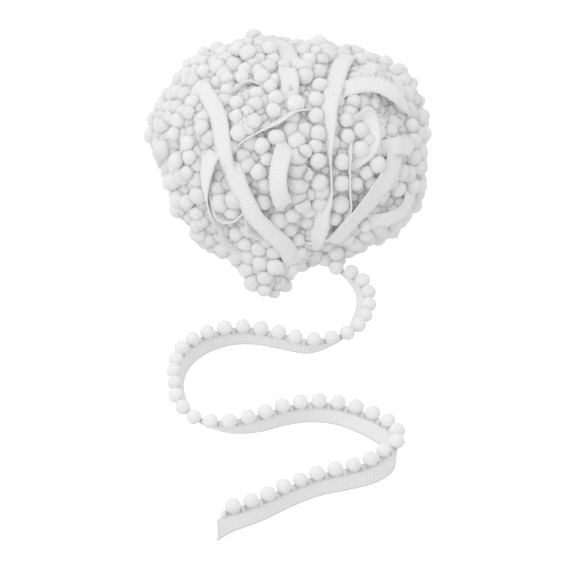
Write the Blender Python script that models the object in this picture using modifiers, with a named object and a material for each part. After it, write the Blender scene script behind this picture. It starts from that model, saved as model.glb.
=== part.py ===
"""Pompom fringe trim: a ball wound from one long strip, and the strip's loose end laid out in an S.

The strip is a narrow ribbed tape with a row of round pompoms along one edge. In the ball it is wound
layer on layer, mostly over the top and down the front. The loose end leaves the ball low at the front and
stands on the tape's free edge, pompoms up, leaning a little to one side and then to the other.

Metres, +Z up. The origin is the middle of the flat spot that the ball rests on. The loose end runs
towards -Y. The ball is one closed body, the tape of the loose end is another, and its pompoms are short
rows, each fused along the bound core that holds them to the tape's upper edge.
"""

import math

import bmesh
import bpy
import numpy as np
from mathutils import Vector
from mathutils.kdtree import KDTree

# The trim
POMPOM_RADIUS = 0.0041
POMPOM_PITCH = 0.0102
POMPOM_HEIGHT = 0.0146  # a pompom's centre, from the tape's free edge
TAPE_WIDTH = 0.0102
TAPE_THICKNESS = 0.0012
CORE_RADIUS = 0.0017  # the bound core between two pompoms
CORE_DROP = 0.0024  # the core lies this much nearer the tape than the pompoms' centres
GAP = 0.0003  # between pieces that touch

# The ball
BALL_HALF_SIZE = np.array((0.0805, 0.0650, 0.0615))
BALL_MIDDLE = np.array((0.0, 0.0, 0.0580))
FORM_POWER = 2.3  # 2 is an ellipsoid, and more is squarer
CORE_DEPTH = 0.0170  # how far under the form the strips are laid out
BODY_DEPTH = 0.0065  # the gaps between strips are filled to this far under the form
GRID_CUTS = 71  # the fine grid that the strips are laid on, cuts to a cube's edge
SMOOTHING = 5
FLAT_SNAP = 0.0003  # what is this close to the surface that the ball rests on lies flat on it
BALL_TRIANGLES = 10000
WOUND_RADIUS = 0.0045  # a pompom of the ball, spread a little by the turns that press on it
SOFTNESS = 0.62  # a pompom yields to its neighbours down to this share of its radius
PROUD_SOFTNESS = 0.45  # the same for one that stands out
COVER_REACH, COVER_FIRMNESS = 0.50, 1.05  # and for one under a tape, beside its middle and at it
WOUND_PITCH = 0.0094
STRIP_STEP = 0.0024
OUTER_ROOM = 0.0015  # the outermost strips' pompoms may stand this far out of the form
PROUD_ROOM = 0.0050  # and those of the next table this far
STEEP_DEPTH = 0.0030  # of a tape that goes straight in, only so much takes room from the pompoms

# Lumps and hollows of the wound form: bearing and height angle in degrees, their reach in degrees, and
# how far they stand out in metres
FORM_LOBES = (
    (-12, -41, 12, 0.0205),
    (-48, -22, 14, 0.0020),
    (58, -20, 16, 0.0010),
    (-95, 5, 16, 0.0040),
    (-150, 50, 22, 0.0030),
    (116, 30, 22, 0.0035),
    (-83, -9, 12, -0.0175),
    (-68, -28, 9, -0.0120),
    (-80, -14, 6, -0.0110),
    (-71, -24, 6, -0.0060),
    (-50, -42, 6, -0.0020),
    (-39, -47, 6, -0.0035),
    (-120, 37, 9, 0.0040),
    (88, -3, 9, -0.0085),
    (81, -13, 6, 0.0015),
    (67, -30, 11, -0.0015),
    (58, -37, 7, -0.0100),
    (48, -43, 6, 0.0030),
    (6, -38, 6, -0.0070),
    (22, -35, 10, -0.0030),
    (72, 29, 8, -0.0040),
    (7, -14, 6, -0.0050),
    (-32, -13, 6, -0.0045),
    (-125, 66, 14, 0.0030),
    (169, 56, 6, -0.0070),
    (155, 53, 6, 0.0050),
    (144, 50, 6, -0.0070),
    (125, 40, 7, -0.0030),
)

# The strips that lie outermost where the ball shows its face. A row is a place on the tape's free edge:
# bearing from the front and height angle, how the tape turns from there to its pompoms (0 is flat to the
# left of its run, 180 flat to the right, 270 or -90 straight in), all in degrees, and its lift in mm.
OUTER_STRIPS = {
    "upright_tape": (
        (109, 55, 205, -2),
        (88, 60, 205, -0.5),
        (68, 60, 208, 0),
        (48, 56, 215, 1),
        (38, 52, 226, 1.5),
        (31, 46, 243, 1.5),
        (24, 35, 262, 1.5),
        (21, 27, 280, 2),
        (20, 18, 285, 2),
        (19, 8, 268, 2),
        (18, 2, 240, 2),
        (18, -6, 232, 2),
        (17, -15, 228, 1),
        (16, -24, 222, -1),
        (15, -33, 215, -4),
    ),
    "sash": (
        (52, 24, -30, -1),
        (47, 19, -25, 1.5),
        (41, 14, -25, 2.5),
        (36, 10, -25, 3),
        (31, 5, -25, 3),
        (27, -1, -22, 2.5),
        (22, -8, -15, 2),
        (18, -14, -22, 1),
        (12, -19, -30, 0),
    ),
    "sash_below": (
        (60, 21, 195, -2),
        (56, 16, 190, -1),
        (51, 10, 188, 0),
        (45, 5, 188, 0),
        (38, -2, 188, 0),
        (32, -8, 190, 0),
        (27, -16, 195, 0),
    ),
    "loop": (
        (44, 43, 240, 1),
        (50, 43, 240, 2.5),
        (53, 41, 240, 3),
        (53, 38, 240, 3),
        (50, 32, 240, 3),
        (46, 27, 240, 2),
        (42, 24, 240, 1),
        (36, 22, 240, 0),
    ),
    "left_band": (
        (-91, 43, 185, -3),
        (-81, 48, 184, -1),
        (-69, 49, 184, 0),
        (-53, 47, 184, 0),
        (-42, 42, 184, 0),
        (-34, 33, 188, 0),
        (-30, 26, 192, 0),
        (-27, 19, 200, -2),
    ),
    "thin_diagonal": (
        (-26, 36, -72, 0),
        (-18, 42, -70, 1.5),
        (-7, 47, -68, 2),
        (4, 52, -68, 2),
        (12, 53, -75, 0.5),
    ),
    "middle_patch": (
        (-8, 37, -20, 0),
        (-9, 33, -5, 3.5),
        (-10, 26, 3, 5),
        (-10, 19, 5, 5),
        (-9, 13, 0, 4.5),
        (-7, 6, -12, 2),
        (-4, 1, -60, -4),
    ),
    "lower_left_edge": (
        (-38, 21, 190, 0),
        (-38, 12, 200, 1),
        (-38, 4, 215, 2),
        (-37, -3, 240, 2),
        (-36, -11, 252, 2),
        (-34, -19, 258, 2),
        (-30, -25, 262, 1),
        (-25, -28, 262, 0),
    ),
    "hammock": (
        (-38, 3, -106, 0),
        (-34, -4, -106, 2),
        (-30, -5, -106, 2),
        (-26, -3, -106, 2),
        (-21, 3, -106, 0),
    ),
    "lower_band": (
        (-31, 17, -20, 0),
        (-29, 13, -15, 0.5),
        (-24, 5, -15, 1.5),
        (-20, -3, -15, 1.5),
        (-14, -11, -15, 1),
        (-7, -21, -20, 0),
        (-3, -31, -30, -3),
    ),
    "small_curl": (
        (-22, 3, -80, 0),
        (-21, -5, -72, 1.5),
        (-20, -11, -72, 1.5),
        (-16, -15, -80, 0),
    ),
    "right_fold": (
        (53, 52, -10, 0),
        (60, 49, 5, 3),
        (64, 45, 8, 5.5),
        (66, 39, 10, 6),
        (69, 34, 10, 5),
        (75, 29, 0, 2),
    ),
    "right_flat": (
        (51, 28, 200, -2),
        (56, 27, 185, 2),
        (60, 25, 185, 2),
        (65, 22, 185, 2),
        (70, 17, 200, -2),
    ),
    "crown": (
        (-134, 48, 186, -3),
        (-147, 47, 186, -2),
        (-157, 49, 186, -2),
        (-167, 57, 186, -2),
        (178, 68, 186, -2),
        (138, 83, 190, -3),
    ),
    "lower_right_band": (
        (42, -13, -30, -1),
        (48, -11, -15, 2),
        (55, -9, -15, 2),
        (62, -6, -30, -1),
    ),
    "second_upright": (
        (33, 30, 285, 0),
        (30, 23, 290, 1.5),
        (29, 17, 292, 1.5),
        (28, 9, 292, 1.5),
        (28, 2, 288, 1.5),
        (26, -5, 280, 0),
    ),
    "upper_right_flat": (
        (89, 56, 195, -1),
        (95, 52, 185, 2),
        (95, 48, 185, 2),
        (92, 44, 195, -1),
    ),
    "small_diagonal": (
        (-56, 55, -62, -1),
        (-54, 61, -60, 1.5),
        (-50, 64, -60, 1.5),
        (-42, 66, -62, -1),
    ),
    "top_patch": (
        (-65, 83, -10, -3),
        (-28, 77, -3, 0.5),
        (-15, 71, -3, 0.5),
        (-12, 65, -20, -2),
    ),
}

# Pompoms that stand out where the ball shows its face: bearing and height angle in degrees, how far they
# stand out of the form and their radius, both in mm
PROUD_POMPOMS = (
    (-115, 62, 3, 4.0), (-107, 68, 4, 4.8), (-127, 64, 2, 4.0), (-133, 75, 3, 4.0), (-133, 68, 1, 3.7),
    (-166, 78, 3, 4.5), (-160, 69, 1, 3.7), (151, 59, 2.5, 4.5), (133, 71, 1.5, 4.0), (108, 72, 1, 3.7),
    (66, 74, 1, 4.5), (41, 66, 1, 4.2), (26, 59, 1, 4.2), (20, 50, 1, 4.0), (18, 41, 1, 4.2),
    (15, 35, 0.5, 3.7), (15, 28, 2, 4.5), (15, 17, 2, 4.5), (8, 22, 3, 3.7), (8, 33, 3, 3.6),
    (10, 11, 0, 3.6), (15, 5, 0, 4.2), (6, 6, 3.5, 4.5), (1, -1, 1, 3.6), (-6, -5, 1, 4.8),
    (-1, -13, 1.5, 4.8), (4, -20, 0, 4.0), (5, -28, 0, 4.0), (9, -7, -1, 3.6), (19, -14, -1, 3.6),
    (-124, 38, 1, 3.7), (-129, 42, 1, 4.2), (-117, 32, 1, 3.7), (-109, 44, 1.5, 3.7), (-99, 52, 1, 4.5),
    (-111, 27, 1, 3.7), (-98, 36, 0.5, 3.6), (-93, 31, 1, 4.0), (-103, 22, 0.5, 3.6), (-81, 38, 1, 3.7),
    (-94, 21, 1, 3.7), (-80, 30, 1, 3.7), (-68, 34, 1.5, 3.7), (-64, 40, 1.5, 4.2), (-94, 14, 1, 3.7),
    (-79, 21, 1, 4.0), (-94, 6, 1, 4.5), (-67, 23, 1.5, 3.7), (-57, 24, 1.5, 4.0), (-72, 13, 1, 4.5),
    (-54, 33, 2, 4.5), (-75, 56, 1.5, 3.7), (-61, 53, 1.5, 3.7), (-46, 51, 1, 3.6), (-70, 63, 1, 3.6),
    (-39, 45, 1, 4.2), (-33, 38, 1.5, 4.5), (-32, 55, 1, 4.0), (-34, 49, 1, 3.6), (-52, 71, 1.5, 4.5),
    (-27, 67, 2, 3.6), (-37, 60, 1, 3.6), (1, 69, 3, 3.6), (5, 58, 2.5, 4.5), (-16, 61, 1.5, 4.0),
    (-15, 54, 1, 4.0), (-27, 46, 1, 4.2), (-9, 40, 2, 4.5), (-17, 35, 1.5, 4.2), (4, 39, 1, 4.5),
    (-13, 29, 1, 3.6), (-17, 22, 1.5, 4.0), (-13, 16, 0.5, 3.6), (-14, 6, 0.5, 4.0), (-47, 22, 1, 4.5),
    (-44, 14, 1, 4.5), (-41, 27, 1, 4.5), (-53, 19, 1, 4.0), (-36, 21, 1, 4.0), (-60, 14, 1, 4.0),
    (-52, 12, 1, 3.6), (-57, -4, 1.5, 4.5), (-51, -2, 1.5, 4.0), (-46, 3, 1, 4.5), (-35, 3, 2, 5.2),
    (-28, 6, 2, 5.1), (-46, -6, 1, 3.6), (91, 56, 1, 3.6), (68, 55, 1, 3.7), (53, 49, 1, 4.0),
    (39, 43, 1, 3.7), (35, 36, 1, 3.7), (30, 43, 0, 3.6), (26, 35, 0, 3.6), (28, 25, 1.5, 4.5),
    (26, 15, 1.5, 4.2), (25, 4, 1.5, 4.8), (22, -4, 1, 4.0), (44, 36, 1, 4.2), (39, 28, 1, 4.5),
    (33, 13, 0.5, 3.7), (39, 17, 0.5, 3.6), (129, 53, 1, 3.7), (125, 49, 1, 4.0), (115, 37, 1.5, 4.5),
    (114, 29, 1.5, 4.2), (108, 24, 1, 3.7), (90, 48, 1, 3.6), (100, 20, 1, 3.7), (92, 30, 1, 5.1),
    (94, 16, 1, 3.7), (86, 12, 1, 4.0), (69, 33, -3, 4.0), (73, 26, -2, 4.2), (65, 42, -1, 3.6),
    (55, 16, 1, 3.6), (64, 14, 1, 3.7), (69, 6, 0, 4.0), (63, 0, 1, 4.2), (54, 3, 0.5, 4.0),
    (70, -4, 1, 3.7), (55, -5, 1, 3.7), (60, -12, 0.5, 3.6), (45, -14, 1, 4.5), (54, -15, 1, 4.0),
    (36, -24, 1, 5.1), (37, -3, 0.5, 3.6), (37, -11, 1, 3.6), (24, -41, 3, 4.5), (28, -33, 2, 4.0),
    (37, -47, 2, 3.6), (-23, -35, 1, 5.1), (-19, -37, 2, 5.2), (-8, -30, 2, 5.2), (-9, -24, 1, 4.2),
    (0, -36, 2, 4.2), (5, -41, 1, 4.0), (-9, -43, 1, 3.7), (-3, -43, 1, 3.6), (-17, -23, 1, 4.5),
    (-24, -21, 1, 4.0), (-13, -37, 1, 3.6), (4, 30, 3.5, 5.0), (4, 24, 4, 5.2), (4, 17.5, 4, 5.2),
    (4, 11, 3, 5.0),
)

# The turns under them. Each is the one of a few trial turns that covers most of what is still bare; their
# axes lie round the ball's long one.
SEED = 11
TURNS = 36
TRIALS = 14
YAW_SPREAD, PITCH_SPREAD = math.radians(60), math.radians(50)
OFFSET_SPREAD = 0.80
WOBBLE = 0.05
BARE_DEPTH = 0.0055  # what lies deeper than this under the form still counts as bare
HIDDEN_DEPTH = 0.0110  # a pompom sunk deeper than this isn't seen
SIDE_STEPS = (0.0, 0.0018, -0.0018, 0.0036, -0.0036)
FLAT_TURN = math.radians(10)
FLAT_WISH = 0.1
FLAT_SQUEEZE = 0.001
FILL_PLACES = 9000
FILL_DEPTH = 0.0095
FILL_SOFTNESS = 0.30
FILL_BARE = 0.0025  # the gaps are filled to this far under the form

# The loose end: the tape's free edge on the surface in millimetres, and its lean in degrees, positive
# to the left of its run from the ball
LOOSE_END = (
    (16, -24.7, 12, -68),
    (25, -34.9, 4.5, -58),
    (32, -45.1, 1.5, -33),
    (36.5, -55.3, 0, -10),
    (37.3, -68.5, 0, 20),
    (34.5, -82.5, 0, 38),
    (29.5, -98.9, 0, 38),
    (20, -109, 0, 34),
    (8.5, -114.3, 0, 20),
    (-6, -109.8, 0, 15),
    (-22, -105.6, 0, 12),
    (-36, -107.8, 0, 8),
    (-48, -116.3, 0, -2),
    (-55.5, -128.3, 0, -12),
    (-58.3, -142.3, 0, -17),
    (-56.5, -156.7, 0, -24),
    (-52, -169.7, 0, -36),
    (-43.5, -180.7, 0, -40),
    (-31, -186.3, 0, -26),
    (-16.2, -185.1, 0, -9),
    (-3, -179.6, 0, -2),
    (11, -176.6, 0, 0),
    (25, -179.3, 0, 6),
    (38, -187.8, 0, 15),
    (48.5, -198.3, 0, 22),
    (54.6, -209.4, 0, 8),
    (52.5, -220.8, 0, -16),
    (43, -229.8, 0, -14),
    (29, -235.3, 0, -8),
    (15, -240, 0, -6),
    (0.5, -248.8, 0, -5),
    (-14, -260, 0, -7),
    (-25, -266.6, 0, -9),
    (-30.6, -270.2, 0, -16),
    (-34.4, -273.6, 0, -27),
    (-37.5, -277.2, 0, -35),
)
TAPE_STEP = 0.0050
ROW_POMPOMS = 5  # pompoms to a row
ROW_END = 0.40  # a row's core ends this far from its last pompom's centre, as a share of the pitch
FIRST_POMPOM = 0.0246  # along the loose end, clear of the ball
END_BEND = 0.014  # over this last length the tape turns its face to the front
END_RUN = np.array((-1.0, 0.0, 0.0))
END_ROOM = 0.0015  # the last pompom's centre is at least this far from the cut end

WHITE = (0.86, 0.86, 0.86, 1.0)


def spline(rows, step):
    """A smooth line through rows of numbers, with a point about every step of their first three columns."""
    rows = np.asarray(rows, float)
    before, after = 2 * rows[:1] - rows[1:2], 2 * rows[-1:] - rows[-2:-1]
    knots = np.concatenate([before, rows, after])
    parts = []
    for a, b, c, d in zip(knots, knots[1:], knots[2:], knots[3:]):
        t = np.linspace(0, 1, 24, endpoint=False)[:, None]
        parts.append(
            0.5 * (2 * b + (c - a) * t + (2 * a - 5 * b + 4 * c - d) * t**2 + (3 * b - a - 3 * c + d) * t**3)
        )
    line = np.concatenate([*parts, rows[-1:]])
    return resampled(line, step)


def resampled(line, step):
    """The same line with evenly spaced points, about step apart in its first three columns."""
    steps = np.linalg.norm(np.diff(line[:, :3], axis=0), axis=1)
    along = np.concatenate([[0], np.cumsum(steps)])
    places = np.linspace(0, along[-1], max(2, round(along[-1] / step) + 1))
    return np.stack([np.interp(places, along, column) for column in line.T], axis=1)


def tangents(line):
    run = np.gradient(line, axis=0)
    return run / np.linalg.norm(run, axis=1, keepdims=True)


def unit(vectors):
    return vectors / np.linalg.norm(vectors, axis=-1, keepdims=True)


def heading(bearing, height):
    """The direction at a bearing from the front, towards +X, and a height angle, in degrees."""
    b, h = math.radians(bearing), math.radians(height)
    return np.array((math.sin(b) * math.cos(h), -math.cos(b) * math.cos(h), math.sin(h)))


def form_radius(directions):
    """How far the wound form reaches from the ball's middle in each direction."""
    directions = np.atleast_2d(directions)
    shares = (np.abs(directions) / BALL_HALF_SIZE) ** FORM_POWER
    radius = shares.sum(axis=1) ** (-1 / FORM_POWER)
    for bearing, height, reach, lift in FORM_LOBES:
        off = np.degrees(np.arccos(np.clip(directions @ heading(bearing, height), -1, 1)))
        radius = radius + lift * np.exp(-((off / reach) ** 2))
    return radius


class Wrap:
    """The ball's surface while strips are laid on it from the outermost one inwards.

    For each direction of a fine grid, ceiling is how far out the next strip may still reach there, cover
    is the same under tapes alone, shown is the outermost thing laid so far, and top is that with the rows
    of pompoms rounded into turns.
    """

    def __init__(self, directions):
        self.form = form_radius(directions)
        self.ceiling = self.form + PROUD_ROOM
        self.cover = self.form + 2 * PROUD_ROOM
        self.shown = self.form - CORE_DEPTH
        self.top = self.shown.copy()
        self.tree = KDTree(len(directions))
        for index, direction in enumerate(directions):
            self.tree.insert(direction, index)
        self.tree.balance()

    def near(self, point, reach):
        """The grid directions within reach of a point, and how far off its line each of them is."""
        length = np.linalg.norm(point)
        found = self.tree.find_range(point / length, reach / length)
        indices = np.array([index for _, index, _ in found], int)
        return indices, length * np.array([distance for _, _, distance in found])

    def room_at(self, point):
        return self.ceiling[self.tree.find(unit(point))[1]]

    def bare_share(self, outwards, depth=BARE_DEPTH):
        """How much of a line of directions would still be seen if a strip were laid there."""
        found = [self.tree.find(direction)[1] for direction in outwards]
        return np.mean(self.shown[found] < self.form[found] - depth)

    def sunk(self, point, radius, softness=SOFTNESS):
        """A ball's centre moved in until it is clear of what lies over it; a tape over it yields less."""
        length = np.linalg.norm(point)
        layers = ((self.ceiling, softness, softness), (self.cover, COVER_REACH, COVER_FIRMNESS))
        for over, reach, firmness in layers:
            indices, across = self.near(point, radius * reach)
            if len(indices):
                cap = radius * firmness * np.sqrt(np.maximum(1 - (across / (radius * reach)) ** 2, 0))
                length = min(length, (over[indices] - cap).min())
        return unit(point) * length

    def lay_pompom(self, point, radius):
        indices, across = self.near(point, radius)
        length = np.linalg.norm(point)
        cap = np.sqrt(np.maximum(radius**2 - across**2, 0))
        self.ceiling[indices] = np.minimum(self.ceiling[indices], length - cap)
        self.shown[indices] = np.maximum(self.shown[indices], length + cap)
        self.top[indices] = np.maximum(self.top[indices], length + cap)

    def join(self, start, end, radius):
        """Rounds over the dip between two neighbouring pompoms, so that their row is one turn."""
        for share in (0.25, 0.5, 0.75):
            point = start + share * (end - start)
            indices, across = self.near(point, radius)
            cap = np.sqrt(np.maximum(radius**2 - across**2, 0))
            self.top[indices] = np.maximum(self.top[indices], np.linalg.norm(point) + cap)

    def lay_row(self, centres):
        """Lays a row of pompoms, rounded into one turn where they follow on."""
        for centre in centres:
            self.lay_pompom(centre, WOUND_RADIUS)
        for start, end in zip(centres, centres[1:]):
            if np.linalg.norm(end - start) < 1.3 * WOUND_PITCH:
                self.join(start, end, WOUND_RADIUS)

    def lay_tape(self, free_edge, root):
        """Lays a tape between two lines of points."""
        for edge_point, root_point in zip(free_edge, root):
            for share in np.linspace(0, 1, 6):
                point = edge_point + share * (root_point - edge_point)
                length = np.linalg.norm(point)
                if length < np.linalg.norm(edge_point) - STEEP_DEPTH:
                    break
                indices, _ = self.near(point, 0.0013)
                under, over = length - TAPE_THICKNESS / 2, length + TAPE_THICKNESS / 2
                self.ceiling[indices] = np.minimum(self.ceiling[indices], under)
                self.cover[indices] = np.minimum(self.cover[indices], under)
                self.shown[indices] = np.maximum(self.shown[indices], over)
                self.top[indices] = np.maximum(self.top[indices], over)


def lay_outer_tape(wrap, rows):
    """Lays one of the outermost strips' tape and gives the places of its pompoms."""
    table = [(*heading(bearing, height), math.radians(turn), lift * 0.001) for bearing, height, turn, lift in rows]
    line = spline(table, 0.03)
    outwards = unit(line[:, :3])
    free_edge = outwards * (form_radius(outwards) + line[:, 4])[:, None]
    path = resampled(np.column_stack([free_edge, outwards, line[:, 3]]), STRIP_STEP)
    free_edge, outwards, turn = path[:, :3], unit(path[:, 3:6]), path[:, 6:7]
    left = unit(np.cross(outwards, tangents(free_edge)))
    across = np.cos(turn) * left + np.sin(turn) * outwards
    wrap.lay_tape(free_edge, free_edge + TAPE_WIDTH * across)
    spacing = round(WOUND_PITCH / STRIP_STEP)
    return (free_edge + POMPOM_HEIGHT * across)[spacing // 2 :: spacing]


def lay_front(wrap):
    """Lays the outermost tapes, then the pompoms that stand out beside them, then the tapes' own."""
    rows = [lay_outer_tape(wrap, table) for table in OUTER_STRIPS.values()]
    proud = []
    for bearing, height, lift, size in PROUD_POMPOMS:
        outwards, radius = heading(bearing, height), size * 0.001
        place = outwards * (form_radius(outwards)[0] + lift * 0.001 - radius)
        proud.append((wrap.sunk(place, radius, PROUD_SOFTNESS), radius))
    for place, radius in proud:
        wrap.lay_pompom(place, radius)
    wrap.ceiling = np.minimum(wrap.ceiling, wrap.form + OUTER_ROOM)
    for places in rows:
        sunk = [wrap.sunk(place, WOUND_RADIUS) for place in places]
        depth = np.linalg.norm(places, axis=1) - np.linalg.norm(sunk, axis=1)
        wrap.lay_row([place for place, sunk_by in zip(sunk, depth) if sunk_by < HIDDEN_DEPTH])


def trial_turn(rng):
    """One turn as directions from the ball's middle, about a seeded axis."""
    yaw, pitch = rng.uniform(-1, 1, 2) * (YAW_SPREAD, PITCH_SPREAD)
    axis = np.array((math.cos(yaw) * math.cos(pitch), math.sin(yaw) * math.cos(pitch), math.sin(pitch)))
    first = unit(np.cross(axis, (0.0, 1.0, 0.0)))
    second = np.cross(axis, first)
    angle = np.linspace(0, 2 * math.pi, 72, endpoint=False)[:, None]
    offset = rng.uniform(-OFFSET_SPREAD, OFFSET_SPREAD) + WOBBLE * np.sin(3 * angle + rng.uniform(0, 6))
    around = np.sqrt(1 - offset**2)
    return unit(offset * axis + around * (np.cos(angle) * first + np.sin(angle) * second))


def lay_winding(wrap):
    """Lays the turns under the outermost strips."""
    rng = np.random.default_rng(SEED)
    wrap.ceiling = np.minimum(wrap.ceiling, wrap.form)
    for _ in range(TURNS):
        trials = [trial_turn(rng) for _ in range(TRIALS)]
        lay_turn(wrap, max(trials, key=wrap.bare_share), rng)


def lay_turn(wrap, outwards, rng):
    """Lays one turn: each pompom moves aside to where the strips over it leave most room."""
    seat = outwards * (form_radius(outwards) - WOUND_RADIUS)[:, None]
    seat = resampled(np.concatenate([seat, seat[:1]]), WOUND_PITCH)[:-1]
    side = unit(np.cross(unit(seat), tangents(seat)))
    laid = []
    for place, left in zip(seat, side):
        choices = [wrap.sunk(place + step * left, WOUND_RADIUS) for step in SIDE_STEPS]
        depth = [np.linalg.norm(place) - np.linalg.norm(c) for c in choices]
        cost = [d + 0.25 * abs(step) for d, step in zip(depth, SIDE_STEPS)]
        laid.append(choices[int(np.argmin(cost))])
    depth = np.linalg.norm(seat, axis=1) - np.linalg.norm(laid, axis=1)
    wrap.lay_row([centre for centre, sunk_by in zip(laid, depth) if sunk_by < HIDDEN_DEPTH])
    lay_turn_tape(wrap, np.array(laid), rng)


def lay_turn_tape(wrap, centres, rng):
    """Lays a turn's tape where it lies flat beside its pompoms; elsewhere it goes straight in, unseen."""
    share = np.linspace(0, 2 * math.pi, len(centres))
    ease = np.sin(share * rng.integers(2, 4) + rng.uniform(0, 6)) + 0.5 * np.sin(share * 5 + rng.uniform(0, 6))
    outwards = unit(centres)
    left = rng.choice((-1, 1)) * unit(np.cross(outwards, tangents(centres)))
    across = math.cos(FLAT_TURN) * left - math.sin(FLAT_TURN) * outwards
    flat = []
    for centre, direction, wish in zip(centres, across, ease):
        places = [centre + part * POMPOM_HEIGHT * direction for part in (0.45, 0.7, 1.0)]
        flat.append(wish > FLAT_WISH and all(np.linalg.norm(p) < wrap.room_at(p) + FLAT_SQUEEZE for p in places))
    runs = np.flatnonzero(np.diff(np.array([False, *flat, False], int)))
    for start, end in zip(runs[::2], runs[1::2]):
        if end - start > 3:
            lines = resampled(np.column_stack([centres, across])[start:end], STRIP_STEP)
            middle, direction = lines[:, :3], unit(lines[:, 3:])
            wrap.lay_tape(middle + POMPOM_HEIGHT * direction, middle + (POMPOM_HEIGHT - TAPE_WIDTH) * direction)


def fill_gaps(wrap):
    """Shows the turns below through what gaps are left: pompoms where there is room for them."""
    count = np.arange(FILL_PLACES) + 0.5
    height, bearing = 1 - 2 * count / FILL_PLACES, count * math.pi * (1 + math.sqrt(5))
    flat = np.sqrt(1 - height**2)
    outwards = np.stack([flat * np.cos(bearing), flat * np.sin(bearing), height], axis=1)
    seat = outwards * (form_radius(outwards) - WOUND_RADIUS)[:, None]

    def sunk(place):
        return wrap.sunk(place, WOUND_RADIUS, FILL_SOFTNESS)

    def depth(place):
        return np.linalg.norm(place) - np.linalg.norm(sunk(place))

    for place in sorted(seat, key=depth):
        if depth(place) < FILL_DEPTH and wrap.bare_share([unit(place)], FILL_BARE):
            wrap.lay_pompom(sunk(place), WOUND_RADIUS)


def new_object(name, mesh, collection):
    part = bpy.data.objects.new(name, mesh)
    collection.objects.link(part)
    return part


def apply_modifiers(part):
    """The part's mesh as its modifiers leave it, with the modifiers gone."""
    graph = bpy.context.evaluated_depsgraph_get()
    shaped = bpy.data.meshes.new_from_object(part.evaluated_get(graph))
    part.modifiers.clear()
    part.data = shaped


def make_ball(collection, material):
    """The wound ball, one closed body with the turns and pompoms of its outermost layers."""
    bm = bmesh.new()
    bmesh.ops.create_cube(bm, size=2.0)
    bmesh.ops.subdivide_edges(bm, edges=bm.edges[:], cuts=GRID_CUTS, use_grid_fill=True)
    bm.verts.ensure_lookup_table()
    corners = np.array([vertex.co for vertex in bm.verts])
    directions = unit(np.tan(corners * math.pi / 4))
    wrap = Wrap(directions)
    lay_front(wrap)
    lay_winding(wrap)
    fill_gaps(wrap)
    reach = np.maximum(wrap.top, wrap.form - BODY_DEPTH)
    for vertex, direction, length in zip(bm.verts, directions, reach):
        vertex.co = direction * length + BALL_MIDDLE
    for _ in range(SMOOTHING):
        bmesh.ops.smooth_vert(bm, verts=bm.verts[:], factor=0.5, use_axis_x=True, use_axis_y=True, use_axis_z=True)
    for vertex in bm.verts:
        vertex.co.z = max(vertex.co.z, 0)
    mesh = bpy.data.meshes.new("wound_ball")
    bm.to_mesh(mesh)
    bm.free()
    mesh.materials.append(material)
    ball = new_object("wound_ball", mesh, collection)
    fewer = ball.modifiers.new("fewer_faces", "DECIMATE")
    fewer.ratio = BALL_TRIANGLES / (12 * (GRID_CUTS + 1) ** 2)
    bpy.context.view_layer.update()
    apply_modifiers(ball)
    for vertex in ball.data.vertices:
        if vertex.co.z < FLAT_SNAP:
            vertex.co.z = 0
    ball.data.shade_smooth()
    return ball


def loose_end_frames(step):
    """Points along the loose end: the tape's free edge, the way up the tape, and its sideways normal."""
    rows = [(x * 0.001, y * 0.001, z * 0.001, math.radians(lean)) for x, y, z, lean in LOOSE_END]
    line = spline(rows, step)
    edge, lean = line[:, :3], line[:, 3:4]
    edge[:, 2] = np.maximum(edge[:, 2], 0)
    to_end = step * np.arange(len(edge))[::-1, None]
    run = tangents(edge)
    run = unit(run + np.clip(1 - to_end / END_BEND, 0, 1) ** 2 * (END_RUN - run))
    left = unit(np.cross((0.0, 0.0, 1.0), run))
    above = unit(np.cross(run, left))
    up = np.cos(lean) * above + np.sin(lean) * left
    edge = edge + above * TAPE_THICKNESS / 2 * np.abs(np.sin(lean))
    return edge, up, np.cross(run, up)


def make_tape(collection, material):
    """The tape of the loose end: a thin strip that stands on its free edge and leans as it goes."""
    edge, up, _ = loose_end_frames(TAPE_STEP)
    levels = (0.0, TAPE_WIDTH / 2, TAPE_WIDTH)
    bm = bmesh.new()
    columns = [[bm.verts.new(e + level * u) for level in levels] for e, u in zip(edge, up)]
    for here, there in zip(columns, columns[1:]):
        for low in range(len(levels) - 1):
            bm.faces.new((here[low], there[low], there[low + 1], here[low + 1]))
    mesh = bpy.data.meshes.new("loose_tape")
    bm.to_mesh(mesh)
    bm.free()
    mesh.materials.append(material)
    tape = new_object("loose_tape", mesh, collection)
    thick = tape.modifiers.new("thickness", "SOLIDIFY")
    thick.thickness = TAPE_THICKNESS
    thick.offset = 0
    return tape


def cut_clear_of_ball(part, ball, cutters):
    """Cuts a piece back to a small gap from the ball."""
    grown = ball.data.copy()
    normals = [Vector(n.vector) for n in ball.data.vertex_normals]
    for vertex, normal in zip(grown.vertices, normals):
        vertex.co += normal * GAP * 1.5
    cutter = new_object(part.name + "_cutter", grown, cutters)
    cutter.hide_render = True
    cutter.display_type = "WIRE"
    cut = part.modifiers.new("clear_of_ball", "BOOLEAN")
    cut.operation = "DIFFERENCE"
    cut.object = cutter


def beads(count):
    """One row's beads as shares of the pitch from its first pompom, with radius and drop at each place."""
    profile = ((-0.30, 0.62, 0.3), (-0.16, 0.93, 0.1), (0.0, 1.0, 0.0), (0.16, 0.93, 0.1), (0.30, 0.62, 0.3))
    core = CORE_RADIUS / POMPOM_RADIUS
    places = [(-ROW_END, core, 1.0), (-ROW_END + 0.04, core, 1.0)]
    for number in range(count):
        places += [(number + share, size, drop) for share, size, drop in profile]
        places.append((number + 0.5, core, 1.0))
    places[-1:] = [(count - 1 + ROW_END - 0.04, core, 1.0), (count - 1 + ROW_END, core, 1.0)]
    return places


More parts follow.
